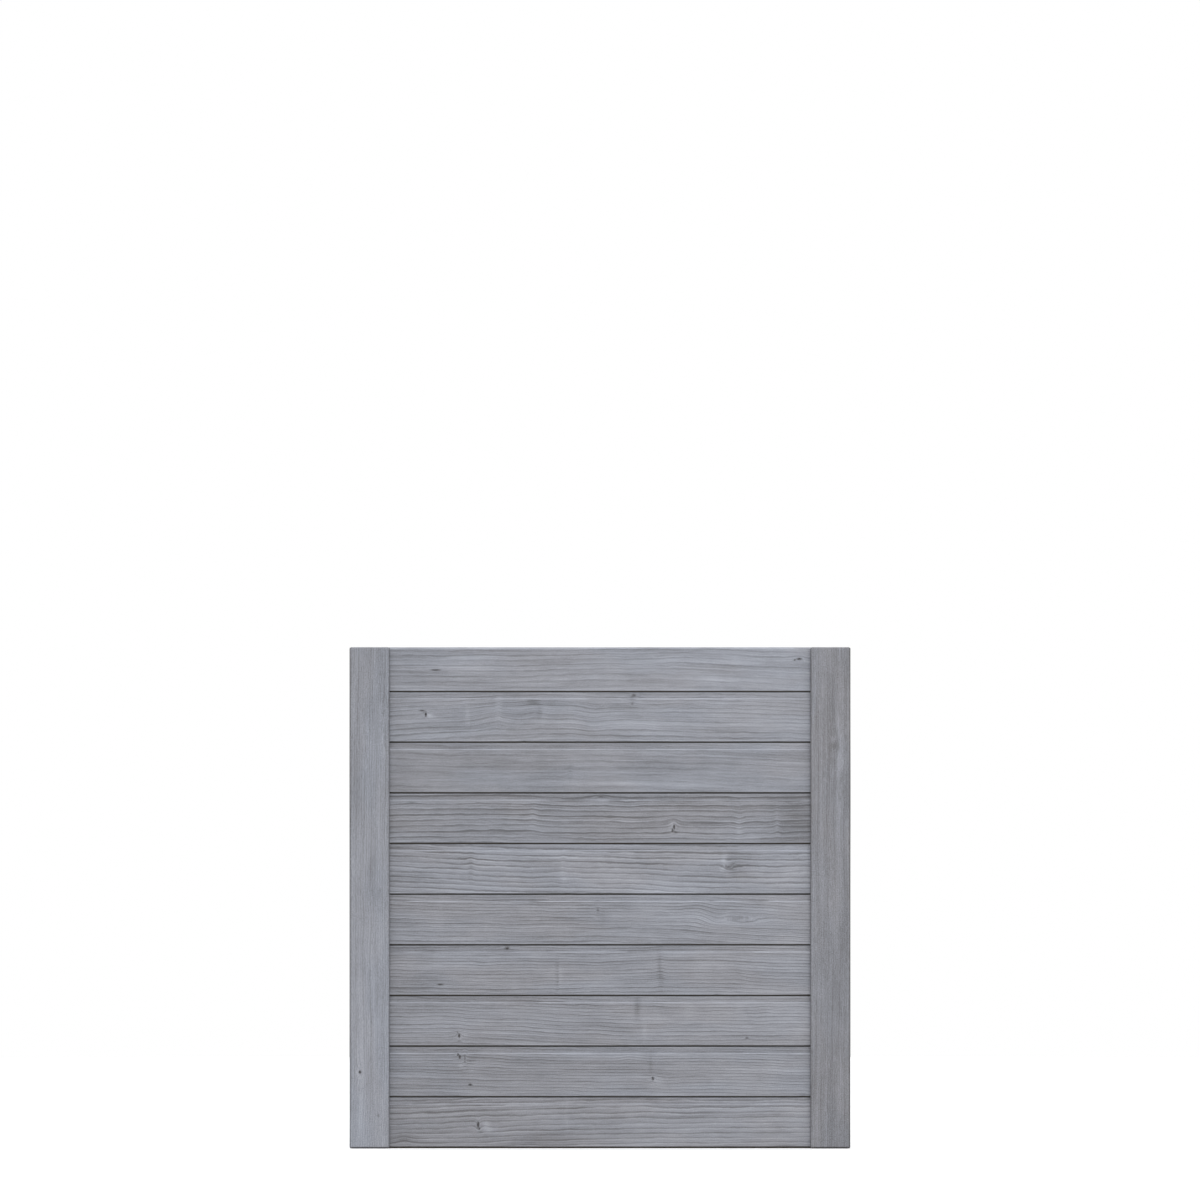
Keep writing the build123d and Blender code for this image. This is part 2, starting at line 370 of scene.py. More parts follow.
BOARD_WOOD = [
    wood(5.2, (420, 330), (1.2, 1.9, 1.7, 1.1, -0.2, 0.9, -0.5),
         tone=0.03, line=0.82, seed=110, warm=0.6,
         waves=[(-352, 16, 14, 12, 4), (-190, 40, 30, 14, -2), (-219, 44, 22, 12, 3)],
         knots=[(-219, 42, 2.0, 5.2, 0.5, 1.0), (-217, 35, 1.8, 2.4, 0.1, 0.7),
             (-214, 29, 6, 1.4, 0.1, 0.5)],
         patches=[(-204, 42, 7, 7, 0.3), (-199, 32, 9, 3, 0.24), (-352, 16, 16, 8, -0.12),
             (-60, 60, 5, 24, 0.105), (365, 45, 40, 60, 0.09), (-100, 20, 60, 8, -0.09)]),
    wood(3.6, (200, -130), (-0.2, -1.2, -0.8, -0.7, -0.6, -0.5),
         tone=0.035, line=0.6, seed=120, warm=0.2,
         waves=[(54, 71, 20, 9, 3), (-248, 73, 24, 10, 2), (108, 30, 22, 12, -2)],
         knots=[(-255, 77, 1.8, 2.6, 0.3, 0.9), (-252, 73, 2.0, 3.0, 0.2, 1.0),
             (-243, 70, 1.5, 8.0, 0.3, 0.62), (-234, 66, 11, 1.3, 0.1, 0.55),
             (-232, 60, 9, 1.1, 0.1, 0.35), (-233, 23, 3.6, 1.8, 0.2, 0.9), (95, 34, 2.6, 3.4, 0.4, 0.8)],
         patches=[(102, 30, 12, 8, 0.135), (-250, 58, 5, 4, 0.26), (-230, 50, 7, 8, 0.14),
             (-226, 72, 14, 8, -0.18), (54, 71, 22, 8, 0.075), (91, 60, 3, 22, -0.15)]),
    wood(4.2, (150, -75), (-0.1, -2.0, -1.5, -1.6, 0.5, -0.8),
         tone=0.025, line=0.66, seed=130, warm=0.5,
         waves=[(-251, 21, 20, 9, 3), (296, 64, 16, 10, 3)],
         knots=[(-253, 20, 1.8, 3.6, 0.4, 1.0), (-256, 26, 1.6, 2.2, 0.1, 0.5), (264, 16, 3, 2, 0.2, 0.6)],
         patches=[(-230, 70, 140, 20, -0.07), (67, 72, 5, 22, -0.27), (-244, 22, 10, 6, 0.15),
             (80, 30, 4, 18, 0.12), (160, 64, 10, 16, 0.09)]),
    wood(3.7, (160, -85), (-0.3, -0.2, -0.4, 1.5, -1.6, -1.6),
         tone=0.018, line=0.66, seed=140, warm=0.3,
         waves=[(246, 35, 24, 14, 3), (108, 45, 8, 30, 2.5), (-77, 34, 3, 30, -1.5)],
         knots=[(-287, 21, 6, 1.6, 0.2, 0.8), (-167, 86, 5, 3, 0.2, 0.7)],
         patches=[(107, 50, 3.5, 26, -0.24), (112, 30, 4, 18, -0.12), (-77, 34, 2.4, 26, -0.18),
             (-71, 40, 3, 24, 0.12), (-160, 80, 26, 6, -0.105), (230, 20, 26, 12, -0.075)]),
    wood(4.1, (100, -42), (-1.5, -0.2, -1.3, 0.3, -4.6, -1.7),
         tone=0.015, line=0.66, seed=150, warm=0.3,
         waves=[(250, 42, 40, 7, -10), (208, 50, 20, 20, -5), (172, 66, 26, 22, 4)],
         knots=[(-4, 64, 3, 6, 0.2, 0.45)],
         patches=[(230, 66, 60, 16, -0.12), (2, 73, 16, 7, 0.09), (228, 52, 9, 12, 0.12),
             (5, 50, 6, 18, -0.09), (-292, 44, 20, 8, 0.15)]),
    wood(5.3, (430, 320), (-2.0, -2.5, -1.9, -0.8, -1.0, 0.4),
         tone=0.08, line=0.92, seed=160, warm=0.22,
         waves=[(-66, 23, 12, 7, -3), (-232, 50, 6, 30, 2.5), (-66, 60, 5, 26, 1.5),
             (226, 57, 22, 12, 2.2)],
         knots=[(231, 50, 5, 3.4, 0.5, 0.5), (238, 45, 7, 1.3, 0, 0.5), (227, 51, 2.0, 4.0, 0.1, 0.5)],
         patches=[(251, 56, 26, 34, -0.17), (238, 58, 9, 16, -0.13), (223, 62, 5, 13, 0.22),
             (219, 46, 4, 6, 0.12), (-232, 50, 5, 26, -0.12), (-66, 40, 6, 24, 0.09)]),
    wood(5.6, (480, -300), (1.8, 0.7, -0.9, -0.5, -1.3, 0.6, 2.2),
         tone=-0.087, line=0.84, seed=170, warm=0.32, shift=0.35,
         waves=[(132, 42, 13, 9, 4.5), (3, 85, 12, 5, 2), (250, 40, 8, 30, -3), (318, 40, 5, 30, 2.5),
             (-120, 50, 8, 30, 2)],
         knots=[(133, 31, 1.7, 4.0, 0.15, 1.0), (130, 25, 1.6, 3.2, 0.1, 0.8),
             (136, 21, 5.0, 1.4, 0.1, 0.6), (3, 85, 9, 2.4, 0.3, 0.6)],
         patches=[(-250, 60, 120, 40, 0.07), (150, 60, 190, 40, -0.07), (350, 40, 34, 60, -0.2),
             (131, 35.5, 5.5, 4.6, 0.36), (126, 26, 3.5, 8, 0.15), (250, 30, 6, 20, 0.15),
             (318, 40, 4, 24, 0.12), (-120, 50, 9, 26, 0.09), (24, 76, 60, 3, 0.09)]),
    wood(5.0, (330, -120), (-1.0, -0.3, 0.5, -1.6, -2.6, -1.0),
         tone=-0.04, line=0.28, seed=180, warm=0.1,
         waves=[(0, 84, 26, 6, 3)],
         knots=[(-54, 38, 2, 4, 0.2, 0.2)],
         # Its patches one or two millimetres tall are painted highlights along brushed ridges.
         patches=[(-345, 68, 40, 20, -0.1), (35, 68, 60, 14, -0.1), (-54, 40, 5, 18, -0.09),
             (-255, 59, 70, 1.2, 0.21), (-130, 59, 22, 1.2, 0.195), (40, 59, 60, 1.2, 0.12),
             (-260, 25, 90, 1.5, 0.15), (-80, 22, 60, 1.3, 0.105), (40, 18, 120, 3, 0.09),
             (200, 14, 140, 4, 0.09), (-150, 43, 200, 9, -0.09), (150, 46, 160, 10, -0.045)]),
    wood(4.4, (170, -70), (4.1, 2.6, 1.2, -2.5, 0.1, -1.8, -1.3),
         tone=0.008, line=0.5, seed=190, warm=0.05,
         waves=[(-188, 45, 30, 24, 6), (-14, 40, 24, 30, -5), (-116, 60, 16, 24, 3), (-182, 60, 5, 24, 3)],
         knots=[(-313, 51, 1.8, 3.6, 0.4, 1.0), (-320, 58, 6, 1.6, 0.3, 0.7), (61, 86, 4, 2, 0.3, 0.7),
             (58, 70, 3.5, 2, 0.3, 0.5)],
         patches=[(-122, 76, 10, 3, -0.3), (-118, 70, 9, 2.4, -0.26), (-108, 56, 5, 12, -0.16),
             (-306, 49, 7, 4, 0.42), (-238, 50, 4, 16, 0.16), (30, 70, 70, 16, -0.09),
             (-182, 66, 7, 18, 0.135), (-100, 50, 8, 20, 0.09), (58, 78, 5, 12, -0.12)]),
    wood(5.0, (300, -140), (0.4, -0.4, 0.7, 0.4, -2.6, -1.3),
         tone=0.036, line=0.42, seed=200, warm=0.1,
         waves=[(358, 60, 12, 8, 3)],
         knots=[(-295, 40, 9, 1.2, 0.2, 1.0), (358, 60, 5, 2, 0.3, 0.8), (350, 58, 2, 1.4, 0, 0.8)],
         patches=[(70, 20, 60, 14, -0.09), (-335, 30, 30, 14, -0.075), (100, 50, 200, 8, 0.075),
             (-240, 45, 90, 2, 0.12), (-300, 36, 40, 2, -0.12), (130, 76, 120, 4, -0.075),
             (0, 20, 160, 5, -0.06)]),
]
CHIPS = {2: (365, 4, 1.3), 4: (210, 6, 0.8), 6: (-60, 9, 0.7), 7: (-250, 7, 0.6), 9: (-138, 5, 1.5)}
HOLE_BOARD, HOLE_PLACE, HOLE_HEIGHT, HOLE_RADIUS, HOLE_DEPTH = 9, -313, 50, 1.5, 2.4
print("boards described:", len(BOARD_WOOD), "knots:", sum(len(w["knots"]) for w in BOARD_WOOD))

# %% [markdown]
# A board's surface is then moved in by tenths of a millimetre: along its rings, where the
# brush has taken the wood, at the sharp edges of the bevels, which never stay quite
# straight, and by a millimetre or two where a splinter has come off the lip.
#
# Painted shade darkens the down-facing bevel under each front lip, the bottom edge of the lowest board and,
# a little, each ledge, and soil gathers in the joints at the back. Painted highlight lightens the upper
# edge of each face and the top of each ledge under the lip above, and a faint paler band lies above each
# lower bevel; these count as less than no soil.

# %% Make the boards
BRUSH_DEPTH, PLANER_WAVE, FIBRE_RELIEF = 0.16, 0.1, 0.05
ARRIS_REACH, ARRIS_WEAR, SLOW_WEAR, QUICK_WEAR = 2.2, 0.14, 0.09, 0.06
KNOT_RIM, RIM_REACH, KNOT_PIT = 0.2, 2.2, 0.5
BOARD_SPACING = 3.45
# Painted shade under the lips, on the lowest board's bottom edge and over each ledge, and painted highlight
# on the upper face edges and at the ledge tops. A faint paler band lies above each lower bevel, and the
# back joints hold soil.
SHADE_AND_SOIL_FADE, LIP_SHADE, BOTTOM_EDGE_SHADE, JOINT_SOIL = 0.9, (2.3, 0.88), (2.5, 0.96), 0.75
HIGHLIGHT_INSET, HIGHLIGHT_REACH, LOWER_PALE_BAND = 1.5, 0.7, 0.3
LEDGE_LIGHT, LEDGE_LIGHT_REACH, LEDGE_SHADE = 0.5, 2.2, 0.06


def board_push(along, depth, height, outline, rings, number):
    """How far each point moves outwards, in mm. Negative is into the wood."""
    grain = BOARD_WOOD[number - 1]
    seed = grain["seed"] + 40
    front_lips = depth < BOARD_FRONT + LIP - 0.1
    push = -BRUSH_DEPTH * grain["line"] * ring_groove(rings)
    push = push - PLANER_WAVE * (1 + unevenness(along / 110, height / 40, seed))
    push = push - FIBRE_RELIEF * (1 + unevenness(along / 9, height / 1.6, seed + 1))
    arris = hill((height - BEVEL / 2) / ARRIS_REACH) + hill((height - FACE + BEVEL / 2) / ARRIS_REACH)
    wear = ARRIS_WEAR + SLOW_WEAR * unevenness(along / 34, height / 30, seed + 2)
    wear = wear + QUICK_WEAR * unevenness(along / 8, height / 30, seed + 3)
    push = push - arris * front_lips * wear
    lower_lip = hill((height - 1.5) / 3.0) * front_lips
    if number in CHIPS:
        place, reach, deep = CHIPS[number]
        ragged = 1.1 + 0.4 * unevenness(along / 2.5, height / 1.5, seed + 4)
        push = push - deep * lower_lip * hill((along - place) / reach) * ragged
    on_face = depth < BOARD_FRONT + 0.5
    for x, w, long, tall, _, dark in grain["knots"]:
        near = oval(along, height, x, w, long, tall)
        push = push + on_face * dark * (KNOT_RIM * hill(near / RIM_REACH) - KNOT_PIT * hill(near))
    if number == HOLE_BOARD:
        near = np.hypot(along - HOLE_PLACE, height - HOLE_HEIGHT) / HOLE_RADIUS
        push = push - on_face * HOLE_DEPTH * hill(near)
    return push * outline["brushed"]


def board_painted_light_and_soil(along, depth, height, number):
    """Painted shade and soil at each point of a board, up to 1 where they cover the wood, and
    painted highlight, below 0, on the upper face edges, the ledge tops and a faint band above each lower
    bevel."""
    has_tongue = number < BOARD_COUNT
    front_lip = depth < BOARD_FRONT + LIP + 0.3
    shade_top, lip_shade_amount = BOTTOM_EDGE_SHADE if number == 1 else LIP_SHADE
    # Painted shade on the down-facing bevel under the front lip, and on the lowest board on its bottom
    # bevel.
    shade_under_lip = front_lip * np.clip(1.0 - (height - shade_top) / SHADE_AND_SOIL_FADE, 0, 1)
    notch = hill(height / SHADE_AND_SOIL_FADE) + has_tongue * hill((height - COVER) / SHADE_AND_SOIL_FADE)
    notch = notch * (depth > BOARD_BACK - 1.4)
    ledge = (depth > BOARD_FRONT + LIP - 0.3) * (depth < 0) * (height > FACE - 1)
    uneven = 0.86 + 0.4 * unevenness(along / 24, number, BOARD_WOOD[number - 1]["seed"] + 50)
    # Painted highlight on the up-facing bevel at the top of each face, and a faint paler band just above
    # the lower bevel.
    upper_edge = hill((height - FACE + HIGHLIGHT_INSET) / HIGHLIGHT_REACH) * uneven
    lower_edge = LOWER_PALE_BAND * hill((height - BEVEL - 1.2) / 1.2)
    pale_edges = np.clip(front_lip * (upper_edge + lower_edge), 0, 1)
    # Painted light at the top of each ledge, where the lip above casts shade, and a little painted shade
    # over the rest of the ledge.
    ledge_light_and_shade = ledge * (LEDGE_LIGHT * hill((COVER - height) / LEDGE_LIGHT_REACH) - LEDGE_SHADE)
    return lip_shade_amount * shade_under_lip - (pale_edges + ledge_light_and_shade) * (shade_under_lip < 0.05) + JOINT_SOIL * notch


def make_board(number):
    """Board `number`, counted from the bottom."""
    grain = BOARD_WOOD[number - 1]
    outline = board_outline(number < BOARD_COUNT)
    busy = [(k[0], 3 * k[2], 1.6) for k in grain["knots"]]
    if number in CHIPS:
        place, reach, _ = CHIPS[number]
        busy.append((place, 2 * reach, 1.5))
    stations = spread_stations(-BOARD_HALF, BOARD_HALF, BOARD_SPACING, busy)
    depth, height = outline["points"][:, 0], outline["points"][:, 1]
    along, depth, height = np.broadcast_arrays(stations[:, None], depth[None], height[None])
    rings, fibre, knot, tone = place_in_log(along, depth - BOARD_FRONT, height, grain)
    push = board_push(along, depth, height, outline, rings, number)
    lifted = dict(outline, points=outline["points"] + [0, (number - 1) * COVER])
    piece = sweep(f"dressed_board_{number:02d}", stations, lifted, push, 0)
    fibre = fibre + [0.9 * number, 0.37 * number, 0]
    painted_light_and_soil = board_painted_light_and_soil(along, depth, height, number)
    write_marks(piece, rings, fibre, np.stack([knot, painted_light_and_soil, tone], axis=-1), grain)
    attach(piece, "root")
    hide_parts(f"board_{number:02d}")
    return piece


boards = [make_board(number) for number in range(1, BOARD_COUNT + 1)]
print("boards made:", len(boards), "faces:", sum(len(b.data.polygons) for b in boards))

# %% [markdown]
# ## The stiles
#
# The stiles are planed square, with rounded long edges, and grooved to take the boards. They
# are made the same way, with their outline carried upwards. Near each end the outline draws
# in along a quarter circle, which rounds the rim. Round each screw the wood dips in a
# small cone, as a countersink leaves it, so that the screw's own solid shows in it.

# %% Make the stiles
EDGE_ROUND, END_ROUND, GROOVE_HALF, GROOVE_DEEP = 4.0, 3.0, 8.2, 18.0
SCREW_INSET, CONE_RADIUS, CONE_DEPTH = 8.0, 4.7, 2.9
SCREW_HEIGHTS = [n * COVER + FACE / 2 for n in range(BOARD_COUNT)]
STILE_BRUSH, STILE_WAVE, STILE_SPACING = 0.1, 0.12, 3.8
INNER_SHADE, OUTER_SHADE, FOOT_SHADE, FOOT_TOP = 0.4, {-1: 0.55, 1: 0.66}, 0.8, 1.7
STILE_WOOD = {
    -1: wood(3.9, (60, -95), (0.3, 0.2, 0.5, 0.2, 1.2, 0.6),
             tone=0.105, line=0.42, seed=300, warm=-0.1, sway=0.9, slant=-0.079,
             waves=[(137, 22, 30, 10, 3), (760, 56, 60, 8, -5)],
             knots=[(137, 19, 3, 2.4, 1.0, 0.9), (59, 52, 3, 2.4, 0.5, 0.5)],
             patches=[(782, 54, 28, 2.2, 0.14), (735, 58, 28, 2.2, 0.14), (688, 61, 28, 2.2, 0.12),
                 (700, 40, 200, 40, -0.05), (100, 30, 120, 50, 0.04)]),
    1: wood(3.6, (90, 190), (-0.2, 0.3, -0.3, 0.2, 0.4, -0.3),
            tone=-0.145, line=0.3, seed=320, warm=0.55, sway=0.9, slant=0,
            waves=[(735, 42, 26, 9, 4)],
            knots=[(722, 43, 5, 4, 0.9, 0.3)],
            patches=[(735, 41, 5, 4, 0.26), (724, 44, 10, 7, -0.13), (692, 55, 18, 9, 0.15),
                (676, 43, 10, 7, 0.1), (300, 30, 160, 30, -0.03), (800, 14, 140, 30, -0.07)]),
}


def stile_outline(side):
    """Section of a stile: side -1 has its groove to the right, side 1 to the left. The
    corners run anticlockwise seen from above, across and then front to back, and the points
    lie close together where the screws sit in the back."""
    inner, outer = side * STILE_INNER, side * STILE_OUTER
    front, back, bottom = STILE_FRONT, STILE_BACK, inner + side * GROOVE_DEEP
    screw = inner + side * SCREW_INSET
    corners = [
        (inner, -GROOVE_HALF, 0, 2.5, 0.4), (inner, front, EDGE_ROUND, 1.5, 1),
        (outer, front, EDGE_ROUND, 2.2, 1), (outer, back, EDGE_ROUND, 2.6, 1),
        (screw + side * 5.5, back, 0, 0.9, 1), (screw - side * 2.5, back, 0, 0.9, 1),
        (inner, back, EDGE_ROUND, 2.0, 1), (inner, GROOVE_HALF, 0, 5, 0),
        (bottom, GROOVE_HALF, 0, 5, 0), (bottom, -GROOVE_HALF, 0, 5, 0),
    ]
    if side < 0:
        # The corners now run the other way, so each takes the values of its new next stretch.
        corners = corners[::-1]
        corners = [c[:3] + corners[(i + 1) % len(corners)][3:] for i, c in enumerate(corners)]
    return trace_outline(corners)


def make_stile(side):
    """One stile: side -1 for the left and 1 for the right, seen from the front."""
    grain = STILE_WOOD[side]
    outline = stile_outline(side)
    busy = [(height, 5.0, 2.2) for height in SCREW_HEIGHTS] + [(0, 4, 3), (PANEL_TOP, 4, 3)]
    busy += [(k[0], 3 * k[2], 1.0) for k in grain["knots"]]
    stations = spread_stations(0, PANEL_TOP, STILE_SPACING, busy)
    from_middle, from_centre = np.abs(outline["points"]).T
    at_mouth = from_middle < STILE_INNER + 0.1
    past_groove = from_middle > STILE_INNER + GROOVE_DEEP + 1
    outside = at_mouth | past_groove | (from_centre > GROOVE_HALF + 0.01)
    outline["outward"][at_mouth & (from_centre < GROOVE_HALF + 0.1)] = (-side, 0)
    across, depth = outline["points"][:, 0], outline["points"][:, 1]
    along, across, depth = np.broadcast_arrays(stations[:, None], across[None], depth[None])
    from_left = across - min(side * STILE_OUTER, side * STILE_INNER)
    rings, fibre, knot, tone = place_in_log(along, depth - STILE_FRONT, from_left, grain)
    wave = unevenness(along / 160, from_left / 40 + depth / 30, grain["seed"] + 40)
    push = -STILE_BRUSH * grain["line"] * ring_groove(rings) - STILE_WAVE * (1 + wave)
    push = push * (outline["brushed"] * outside)
    inset = np.clip(END_ROUND - np.minimum(along, PANEL_TOP - along), 0, END_ROUND)
    push = push - outside * (END_ROUND - np.sqrt(END_ROUND ** 2 - inset ** 2))
    at_back = depth > STILE_BACK - 0.01
    for height in SCREW_HEIGHTS:
        near = np.hypot(along - height, across - side * (STILE_INNER + SCREW_INSET))
        cone = -np.clip(CONE_RADIUS - near, 0, CONE_DEPTH)
        push = np.where(at_back, np.minimum(push, cone), push)
    piece = sweep("dressed_left_stile" if side < 0 else "dressed_right_stile", stations, outline, push, 2)
    fibre = fibre + [7.3 + side, 1.7 + side, 0]
    # Painted shade on the front of the rounded inner and outer edges and at the foot; this mask is only
    # painted shade.
    inner_edge = hill((np.abs(across) - STILE_INNER) / 1.6) * (depth < 0)
    outer_edge = hill((np.abs(across) - STILE_OUTER) / 2.2) * (depth < STILE_FRONT + 4)
    foot = (depth < STILE_FRONT + 6) * np.clip(1.0 - (along - FOOT_TOP) / SHADE_AND_SOIL_FADE, 0, 1)
    painted_light_and_soil = np.maximum(INNER_SHADE * inner_edge + OUTER_SHADE[side] * outer_edge, FOOT_SHADE * foot)
    write_marks(piece, rings, fibre, np.stack([knot, painted_light_and_soil, tone], axis=-1), grain)
    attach(piece, "root")
    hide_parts("left_stile" if side < 0 else "right_stile")
    return piece


stiles = [make_stile(side) for side in (-1, 1)]
print("stiles made:", len(stiles), "faces:", sum(len(s.data.polygons) for s in stiles))

# %% [markdown]
# ## Helpers for materials
#
# A material is a small machine of nodes. The helpers below place a node, join it up and hand
# back its output, so that a recipe reads from top to bottom like a sum.

# %% Node helpers
def grey(red, green, blue):
    """A colour as seen on a screen, from 0 to 255, turned into the linear values that the
    shader needs: c/12.92 near black, and ((c + 0.055) / 1.055) to the power 2.4 above."""
    screen = np.array([red, green, blue]) / 255
    linear = np.where(screen <= 0.04045, screen / 12.92, ((screen + 0.055) / 1.055) ** 2.4)
    return tuple(float(c) for c in linear) + (1.0,)


def put(tree, kind, inputs=(), **settings):
    """Adds a node, sets its properties and fills its inputs with values or links."""
    node = tree.nodes.new(kind)
    for name, value in settings.items():
        setattr(node, name, value)
    for place, value in dict(inputs).items():
        if isinstance(value, bpy.types.NodeSocket):
            tree.links.new(value, node.inputs[place])
        else:
            node.inputs[place].default_value = value
    return node


def calc(tree, operation, a, b=0.0, c=0.0):
    """One step of arithmetic."""
    return put(tree, "ShaderNodeMath", {0: a, 1: b, 2: c}, operation=operation).outputs[0]


def times(tree, a, b):
    """One value times another."""
    return calc(tree, "MULTIPLY", a, b)


def fade(tree, value, low, high, start=0.0, end=1.0):
    """Goes smoothly from start to end while value goes from low to high."""
    inputs = {"Value": value, "From Min": low, "From Max": high, "To Min": start, "To Max": end}
    return put(tree, "ShaderNodeMapRange", inputs, interpolation_type="SMOOTHSTEP").outputs[0]


def stretch(tree, place, scale):
    """A place with its three directions scaled apart."""
    return put(tree, "ShaderNodeVectorMath", {0: place, 1: scale}, operation="MULTIPLY").outputs[0]


def cloud(tree, place, scale, detail=2.0, roughness=0.5):
    """Smooth noise, about 0.5 on average, its lumps 1/scale metres long in each direction."""
    inputs = {"Vector": stretch(tree, place, scale), "Scale": 1.0, "Detail": detail, "Roughness": roughness}
    return put(tree, "ShaderNodeTexNoise", inputs).outputs[0]


def drift(tree, place, scale, detail=2.0, roughness=0.5):
    """The same noise set about 0, so that it lightens as much as it darkens."""
    return calc(tree, "SUBTRACT", cloud(tree, place, scale, detail, roughness), 0.5)


def chance_of(tree, number):
    """A random value from 0 to 1 that always goes with the same number."""
    return put(tree, "ShaderNodeTexWhiteNoise", {"W": number}, noise_dimensions="1D").outputs["Value"]


def mix(tree, share, first, second, blend="MIX"):
    """Blends two colours. The node's colour inputs are its sixth and seventh, from 0."""
    inputs = {0: share, 6: first, 7: second}
    node = put(tree, "ShaderNodeMix", inputs, data_type="RGBA", blend_type=blend, clamp_factor=True)
    return node.outputs[2]


def new_material(name):
    """A material, its tree of nodes and the inputs of its shader."""
    material = bpy.data.materials.new(name)
    material.use_nodes = True
    return material, material.node_tree, material.node_tree.nodes["Principled BSDF"].inputs


def recipe(name, inputs, outputs):
    """A shader node group with named inputs and outputs."""
    group = bpy.data.node_groups.new(name, "ShaderNodeTree")
    for label, kind in inputs.items():
        group.interface.new_socket(label, in_out="INPUT", socket_type="NodeSocket" + kind)
    for label, kind in outputs.items():
        group.interface.new_socket(label, in_out="OUTPUT", socket_type="NodeSocket" + kind)
    return group, group.nodes.new("NodeGroupInput").outputs, group.nodes.new("NodeGroupOutput").inputs


print("a mid grey of 146 on the screen is", round(grey(146, 146, 146)[0], 3), "in the shader")

# %% [markdown]
# ## Growth rings
#
# Within each year the wood starts pale and soft and ends in a thin, dense, dark line. The
# group below counts rings with the place in the log, wavers the count a little, and draws
# that line near the end of each ring. Many years also have a fainter false line, from a dry
# spell in summer. Each ring has its own strength, by a random number from its count, and
# fades in and out along the board. After the line lies a paler band, a painted highlight
# on the brushed ridge, which the bump also raises.

# %% Node group for growth rings
SLOW_WAVER, QUICK_WAVER, QUICK_SHARE = (16, 120, 120), (80, 420, 420), 0.45
LINE_RISE, LINE_DROP = (0.36, 0.8), (0.88, 1.0)
FALSE_LINE_AT, FALSE_WIDTH, FALSE_STRENGTH = 0.36, (0.02, 0.14), (0.06, 0.5)
RING_STRENGTH, ALONG_STRENGTH = (0.6, 1.0), (0.55, 1.0)
rings_group, given, result = recipe(
    "Growth rings",
    {"Rings": "Vector", "Fibre": "Vector", "Waver": "Float", "Strength": "Float"},
    {"Line": "Float", "Ridge": "Float"},
)
tree, fibre = rings_group, given["Fibre"]
from_heart = stretch(tree, given["Rings"], (1, 1, 0))
radius = put(tree, "ShaderNodeVectorMath", {0: from_heart}, operation="LENGTH").outputs["Value"]
swelling = put(tree, "ShaderNodeSeparateXYZ", {0: given["Rings"]}).outputs[2]
slow, quick = drift(tree, fibre, SLOW_WAVER), drift(tree, fibre, QUICK_WAVER)
waver = times(tree, calc(tree, "MULTIPLY_ADD", quick, QUICK_SHARE, slow), given["Waver"])
count = calc(tree, "ADD", calc(tree, "SUBTRACT", radius, swelling), waver)
within, year = calc(tree, "FRACT", count), calc(tree, "FLOOR", count)
of_ring = fade(tree, chance_of(tree, year), 0.0, 1.0, *RING_STRENGTH)
along_board = fade(tree, cloud(tree, fibre, (8, 90, 90)), 0.32, 0.6, *ALONG_STRENGTH)
strength = times(tree, times(tree, of_ring, along_board), given["Strength"])
rise, drop = fade(tree, within, *LINE_RISE), fade(tree, within, *LINE_DROP, 1.0, 0.0)
line = times(tree, times(tree, rise, rise), drop)
from_false = calc(tree, "ABSOLUTE", calc(tree, "SUBTRACT", within, FALSE_LINE_AT))
false_line = fade(tree, from_false, *FALSE_WIDTH, 1.0, 0.0)
false_chance = fade(tree, chance_of(tree, calc(tree, "ADD", year, 0.5)), 0.2, 0.9, *FALSE_STRENGTH)
line = calc(tree, "MAXIMUM", line, times(tree, false_line, false_chance))
# The ridge, just after the line and faintly in mid-ring, is a painted highlight on the brushed ridge.
after_line = fade(tree, within, 0.02, 0.3, 1.0, 0.0)
before_rise = fade(tree, within, 0.25, 0.6, 0.0, 0.25)
before_drop = fade(tree, within, 0.6, 0.75, 1.0, 0.0)
ridge = calc(tree, "ADD", after_line, times(tree, before_rise, before_drop))
tree.links.new(times(tree, line, strength), result["Line"])
tree.links.new(times(tree, ridge, strength), result["Ridge"])
print("ring group nodes:", len(rings_group.nodes))

# %% [markdown]
# ## Fibres
#
# Between the rings the wood is a bundle of fine fibres. They are noise that is stretched
# along the grain: streaks a hand long and a few millimetres wide, finer ones a quarter of
# that size among them, and hair-fine ones on top.

# %% Node group for fibres
fibres_group, given, result = recipe(
    "Wood fibres", {"Fibre": "Vector"}, {"Streak": "Float", "Hair": "Float"})
tree, fibre = fibres_group, given["Fibre"]
broad, fine = drift(tree, fibre, (11, 230, 230), 3.0, 0.62), drift(tree, fibre, (48, 900, 900), 3.0, 0.6)
tree.links.new(calc(tree, "MULTIPLY_ADD", fine, 0.9, broad), result["Streak"])
tree.links.new(drift(tree, fibre, (90, 2600, 2600), 2.0, 0.7), result["Hair"])
print("fibre group nodes:", len(fibres_group.nodes))

# %% [markdown]
# ## Grey stain
#
# The stain is a thin blue-grey glaze. It gathers dark in the ring lines, and lets a warmer
# grey of the wood through here and there, on some pieces more than on others. The ridges are
# paler by a painted highlight. Broad bands, patches, a mottle and a fine fuzz keep it uneven.
# Painted highlight makes the upper edges of the faces, the tops of the ledges and a faint band above each
# lower bevel pale. Knots take the stain dark, with a ragged border.
# Painted shade darkens the undersides of the lips, the ledges, the feet and the edges of the stiles, and
# soil collects in the joints at the back. This group turns the masks into one colour.

# %% Node group for the grey stain
COOL_DARK, COOL_PALE = grey(99, 100, 104), grey(171, 175, 185)
WARM_DARK, WARM_PALE = grey(101, 100, 102), grey(172, 173, 180)
